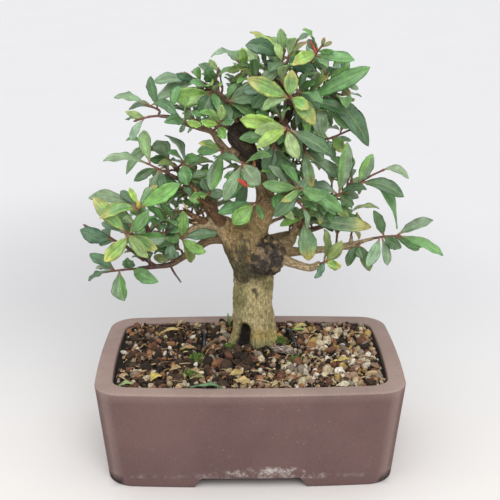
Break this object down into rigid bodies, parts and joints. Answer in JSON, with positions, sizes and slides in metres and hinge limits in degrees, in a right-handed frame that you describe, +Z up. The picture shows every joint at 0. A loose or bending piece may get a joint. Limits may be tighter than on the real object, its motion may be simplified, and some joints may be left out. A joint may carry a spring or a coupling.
{
  "type": "potted bonsai tree",
  "caption": "Potted pomegranate bonsai with a twisted trunk and loose leafy branches, in a low rectangular clay pot on corner feet.",
  "frame": {"origin": "centre of the bounding box's footprint, on the surface that the pot's feet stand on", "axes": "+Z up, +X along the pot's long side to the right as seen from the front, +Y to the back"},
  "size_m": [0.2188, 0.1484, 0.2596],
  "materials": {
    "clay": "unglazed fired clay, matte mauve brown",
    "soil": "damp dark soil with tan, white and reddish grains",
    "bark": "flaking tan-olive bark, darker upwards",
    "leaf": "living leaf, half glossy, some with yellow edges",
    "wire": "dark annealed training wire",
    "net": "black drainage net",
    "chip": "weathered grey bark"
  },
  "bodies": {
    "root": {"pot": "clay", "soil": "soil", "trunk": "bark", "drainage_net_left": "net", "drainage_net_right": "net", "anchor_wire_left": "wire", "anchor_wire_right": "wire", "bark_chip": "chip", "spray_left_low_tip": "leaf", "spray_left_low_mid": "leaf", "spray_left_purple_tip": "leaf", "spray_left_rosette_low": "leaf", "spray_left_rosette_up": "leaf", "spray_left_inner": "leaf", "spray_left_inner_up": "leaf", "spray_left_mid_tip": "leaf", "spray_left_mid_side": "leaf", "spray_left_mid_low": "leaf", "spray_left_high_tip": "leaf", "spray_left_high_side": "leaf", "spray_left_high_mid": "leaf", "spray_left_high_rosette": "leaf", "spray_crown_left_big": "leaf", "spray_crown_left_tip": "leaf", "spray_crown_left_up": "leaf", "spray_top_left_tip": "leaf", "spray_crown_front_left": "leaf", "spray_top_centre": "leaf", "spray_top_shoot": "leaf", "spray_top_right_tip": "leaf", "spray_crown_right_tip": "leaf", "spray_crown_right_long": "leaf", "spray_crown_centre": "leaf", "spray_crown_right_hang": "leaf", "spray_mid_right_tip": "leaf", "spray_centre_right": "leaf", "spray_right_mid_up": "leaf", "spray_right_purple_tip": "leaf", "spray_right_low_tip": "leaf", "spray_right_low_knob": "leaf", "spray_right_inner_long": "leaf", "spray_right_low_inner": "leaf", "spray_mid_right_front": "leaf", "spray_mid_centre_front": "leaf", "spray_mid_left_front": "leaf", "spray_crotch_front": "leaf", "spray_mid_right_hang": "leaf", "spray_mid_centre_hang": "leaf", "spray_back_left_low_tip": "leaf", "spray_back_left_low_side": "leaf", "spray_back_right_low_tip": "leaf", "spray_back_right_low_side": "leaf", "spray_back_mid_tip": "leaf", "spray_back_mid_side": "leaf", "spray_back_high_tip": "leaf", "spray_back_high_side": "leaf", "spray_back_top_tip": "leaf", "spray_back_right_high": "leaf", "spray_back_left_mid": "leaf", "spray_back_top_right": "leaf"}
  },
  "joints": []
}
